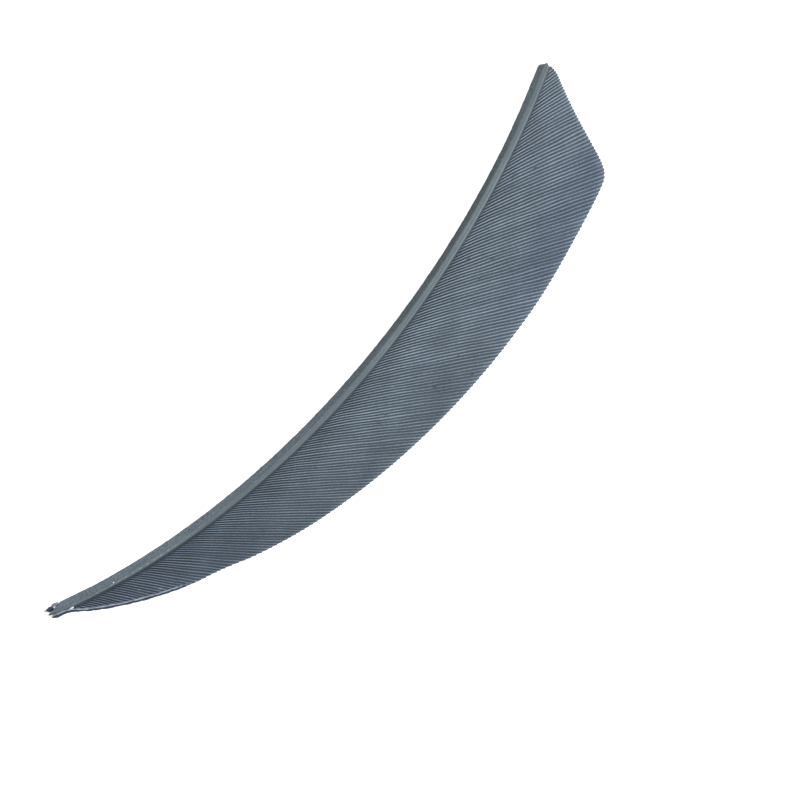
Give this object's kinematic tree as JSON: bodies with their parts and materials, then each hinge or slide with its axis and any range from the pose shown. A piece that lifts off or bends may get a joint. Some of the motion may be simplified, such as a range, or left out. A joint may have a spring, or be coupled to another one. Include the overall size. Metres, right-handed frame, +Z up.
{
  "type": "goose quill feather",
  "caption": "Split and ground goose quill feather with a trimmed grey vane on a bowed strip of half shaft.",
  "frame": {"origin": "centre of the feather's bounding box, on the surface that it lies on", "axes": "+X along the feather from its narrow end to its wide end, the vane towards -Y, +Z up from the surface"},
  "size_m": [0.1284, 0.0292, 0.0014],
  "materials": {
    "quill": "ground keratin with fine pith, dyed grey, satin on its uncut lip",
    "vane": "feather barbs dyed blue grey, soft sheen along each barb"
  },
  "bodies": {
    "root": {"shaft": "quill", "vane": "vane"}
  },
  "joints": []
}
